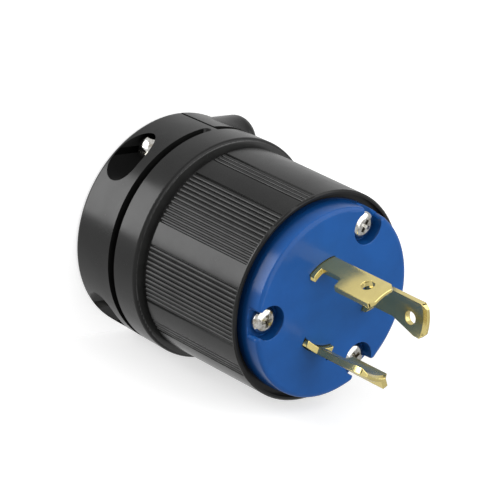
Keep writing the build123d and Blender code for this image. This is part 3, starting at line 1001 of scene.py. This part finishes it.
def clamp_screw(sizes):
    """Slotted hexagon screw with a domed head, lying along X in its place across the clamp."""
    head = sizes.hex_height
    shank = sizes.clamp_shank
    top = CLAMP_SCREWS_LOW.x - sizes.hex_proud
    reach = CLAMP_SCREWS_HIGH.x - top
    corners, far = hexagon(sizes.hex_flats)
    dome = [(0.0, 0.0), (0.30, 0.0), (0.55, 0.08), (0.75, 0.20), (0.90, 0.36)]
    dome += [(1.02, 0.58), (1.02, 1.0), (0.0, 1.0)]
    screw = prism("hex_screw", corners, 0.0, head)
    carve(screw, lathe("trim", [(far * out, head * down) for out, down in dome]), "INTERSECT")
    long = sizes.hex_flats
    wide = sizes.slot_width / 2
    slot = [(-long, -wide), (long, -wide), (long, wide), (-long, wide)]
    carve(screw, prism("slot", slot, -0.001, sizes.slot_depth), "DIFFERENCE")
    profile = [(0.0, head * 0.5), (shank, head * 0.5), (shank, reach - 0.0004)]
    profile += [(shank * 0.75, reach), (0.0, reach)]
    carve(screw, lathe("shank", profile, 32), "UNION")
    smooth(screw.data, 28)
    screw.data.transform(Matrix.Translation((top, 0, 0)) @ ALONG_X)
    return screw


def clamp_nut(sizes):
    """Hexagon nut with its corners trimmed at both ends, lying along X in its place in the clamp."""
    height = CLAMP_NUTS_HIGH.x - CLAMP_NUTS_LOW.x
    corners, far = hexagon(sizes.nut_flats)
    ends = [(0.0, 0.0), (0.88, 0.0), (1.02, 0.14), (1.02, 0.86), (0.88, 1.0), (0.0, 1.0)]
    nut = prism("hex_nut", corners, -height, 2 * height)
    trim = lathe("trim", [(far * out, height * up) for out, up in ends])
    # Turned a little so that its edges miss the hexagon's corners
    trim.data.transform(Matrix.Rotation(math.radians(2), 4, "Z"))
    carve(nut, trim, "INTERSECT")
    bore = sizes.clamp_shank + 0.00008
    carve(nut, lathe("bore", [(0.0, -0.001), (bore, -0.001), (bore, 0.01), (0.0, 0.01)], 32), "DIFFERENCE")
    smooth(nut.data, 28)
    nut.data.transform(Matrix.Translation((CLAMP_NUTS_LOW.x, 0, 0)) @ ALONG_X)
    return nut


class PLUG_OT_clamp_screws(bpy.types.Operator):
    """Slotted hexagon screws and their nuts across the cord clamp"""

    bl_idname = "plug.clamp_screws"
    bl_label = "Clamp screws"

    def execute(self, context):
        sizes = context.scene.plug_fasteners
        values = {"Offset": sizes.clamp_offset, "Height": sizes.clamp_height, "Finish": plated_steel()}
        for maker, node in ((clamp_screw, "clamp_screws"), (clamp_nut, "clamp_nuts")):
            source = maker(sizes)
            piece = grown(node[:-1] + "_pair", clamp_pair_tree(), values | {"Fastener": source})
            drop(source)
            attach(piece, "root")
            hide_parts(node)
        return {"FINISHED"}


class PLUG_OT_works(bpy.types.Operator):
    """Finishes of the terminal block and the terminals inside the housing"""

    bl_idname = "plug.works"
    bl_label = "Terminals"

    def execute(self, context):
        finishes = {
            brass: ("thread_inserts", "line_terminal_screws", "terminal_nuts"),
            plated_steel: ("ground_pressure_plate", "line_pressure_plate_1", "line_pressure_plate_2"),
            pale_nylon: ("terminal_block",),
            green_steel: ("ground_terminal_screw",),
        }
        for finish, nodes in finishes.items():
            for node in nodes:
                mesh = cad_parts[node].data
                mesh.materials.clear()
                mesh.materials.append(finish())
        return {"FINISHED"}


# Stage, panel and registration


def sheet(name, corners):
    """Flat four-cornered object."""
    mesh = bpy.data.meshes.new(name)
    mesh.from_pydata(corners, [], [(0, 1, 2, 3)])
    return show(name, mesh)


def stage_white(name, strength):
    """White that keeps the object's shadow, and is clear from behind."""
    finish = bpy.data.materials.new(name)
    finish.use_nodes = True
    tree = finish.node_tree
    tree.nodes.remove(tree.nodes["Principled BSDF"])
    paper = add(tree, "ShaderNodeBsdfDiffuse", {"Color": (0.60, 0.60, 0.60, 1)})
    glow = add(tree, "ShaderNodeEmission", {"Strength": strength})
    both = add(tree, "ShaderNodeAddShader", {0: paper, 1: glow})
    clear = add(tree, "ShaderNodeBsdfTransparent")
    behind = (add(tree, "ShaderNodeNewGeometry"), "Backfacing")
    pick = add(tree, "ShaderNodeMixShader", {"Fac": behind, 1: both, 2: clear})
    feed(tree.nodes["Material Output"], {"Surface": pick})
    return finish


def white_room(sizes):
    """Surroundings that are white to the camera, dimmer on one side, and brighter in reflections."""
    world = bpy.data.worlds.new("white_room")
    world.use_nodes = True
    tree = world.node_tree
    white = {"Color": (1, 1, 1, 1)}
    dim_way = (0.811, -0.501, 0.301)
    place = (add(tree, "ShaderNodeTexCoord"), "Generated")
    facing = add(tree, "ShaderNodeVectorMath", {0: place, 1: dim_way}, operation="DOT_PRODUCT")
    limits = {"From Min": -0.1, "From Max": 0.9, "To Min": sizes.ambient, "To Max": sizes.dim}
    limits["Value"] = (facing, "Value")
    fall = add(tree, "ShaderNodeMapRange", limits, interpolation_type="SMOOTHSTEP")
    path = add(tree, "ShaderNodeLightPath")
    shine = reckon(tree, "MULTIPLY_ADD", (path, "Is Glossy Ray"), sizes.shine - 1.0, 1.0)
    room = tree.nodes["Background"]
    feed(room, white | {"Strength": reckon(tree, "MULTIPLY", fall, shine)})
    backdrop = add(tree, "ShaderNodeBackground", white | {"Strength": 1.0})
    pick = add(tree, "ShaderNodeMixShader", {"Fac": (path, "Is Camera Ray"), 1: room, 2: backdrop})
    feed(tree.nodes["World Output"], {"Surface": pick})
    return world


class PLUG_OT_stage(bpy.types.Operator):
    """White floor, soft lamps, white surroundings and the camera"""

    bl_idname = "plug.stage"
    bl_label = "Stage"

    def execute(self, context):
        scene = context.scene
        sizes = scene.plug_stage
        scene.view_settings.view_transform = "Standard"
        scene.world = white_room(sizes)
        reach = 1.5
        gap = 0.00002
        spread = [(-reach, -reach), (reach, -reach), (reach, reach), (-reach, reach)]
        floor = sheet("floor", [(x, y, -gap) for x, y in spread])
        table = sheet("table", [(x, CAD_LOW.y - gap, -y) for x, y in spread])
        for base, glow in ((floor, sizes.floor_glow), (table, sizes.table_glow)):
            base.data.materials.append(stage_white(base.name + "_white", glow))
            base.visible_diffuse = False
            base.visible_glossy = False
            base.visible_shadow = False

        middle = (CAD_LOW + CAD_HIGH) / 2
        lamps = (
            ("front_lamp", Vector((0.150, 0.290, 0.510)), 0.95, sizes.front_power),
            ("side_lamp", Vector((-0.541, 0.235, -0.540)), 0.52, sizes.side_power),
        )
        for name, spot, size, power in lamps:
            light = bpy.data.lights.new(name, "AREA")
            light.shape = "SQUARE"
            light.size = size
            light.energy = power
            lamp = bpy.data.objects.new(name, light)
            lamp.location = middle + spot
            lamp.rotation_euler = (-spot).to_track_quat("-Z", "Y").to_euler()
            lamp.visible_camera = False
            scene.collection.objects.link(lamp)

        view = bpy.data.cameras.new("photo_camera")
        view.lens = sizes.lens
        view.sensor_width = 36.0
        view.clip_start = 0.02
        camera = bpy.data.objects.new("photo_camera", view)
        right = Vector((0.73685, 0.14227, 0.66100))
        up = Vector((0.11505, 0.93697, -0.32900))
        toward = Vector((-0.66615, 0.31856, 0.67400))
        turned = Matrix((right, up, toward)).transposed().to_4x4()
        camera.matrix_world = Matrix.Translation((-0.5009, 0.2422, 0.5376)) @ turned
        scene.collection.objects.link(camera)
        scene.camera = camera
        return {"FINISHED"}


class PLUG_PT_sidebar(bpy.types.Panel):
    """Sizes, colours and steps of the plug's dressing"""

    bl_idname = "PLUG_PT_sidebar"
    bl_label = "Locking plug"
    bl_space_type = "VIEW_3D"
    bl_region_type = "UI"
    bl_category = "Plug"

    def draw(self, context):
        for step in STEPS:
            self.layout.operator(step.bl_idname)
        for name in SETTINGS:
            group = getattr(context.scene, name)
            box = self.layout.box()
            box.label(text=group.__class__.__doc__)
            for key in group.__class__.__annotations__:
                box.prop(group, key)


SETTINGS = {
    "plug_grip": PlugGripSettings,
    "plug_face": PlugFaceSettings,
    "plug_fasteners": PlugFastenerSettings,
    "plug_finish": PlugFinishSettings,
    "plug_stage": PlugStageSettings,
}

STEPS = (
    PLUG_OT_stage,
    PLUG_OT_housing,
    PLUG_OT_ribs,
    PLUG_OT_clamp,
    PLUG_OT_face,
    PLUG_OT_blades,
    PLUG_OT_face_screws,
    PLUG_OT_clamp_screws,
    PLUG_OT_works,
)


def register():
    """Make the settings, steps and panel known to Blender."""
    for group in SETTINGS.values():
        bpy.utils.register_class(group)
    for name, group in SETTINGS.items():
        setattr(bpy.types.Scene, name, PointerProperty(type=group))
    for step in STEPS:
        bpy.utils.register_class(step)
    bpy.utils.register_class(PLUG_PT_sidebar)


def unregister():
    """Take back what register made known."""
    bpy.utils.unregister_class(PLUG_PT_sidebar)
    for step in reversed(STEPS):
        bpy.utils.unregister_class(step)
    for name in SETTINGS:
        delattr(bpy.types.Scene, name)
    for group in reversed(list(SETTINGS.values())):
        bpy.utils.unregister_class(group)


def main():
    """Dress the plug."""
    register()
    bpy.ops.plug.stage()
    bpy.ops.plug.housing()
    bpy.ops.plug.ribs()
    bpy.ops.plug.clamp()
    bpy.ops.plug.face()
    bpy.ops.plug.blades()
    bpy.ops.plug.face_screws()
    bpy.ops.plug.clamp_screws()
    bpy.ops.plug.works()


if __name__ == "__main__":
    main()
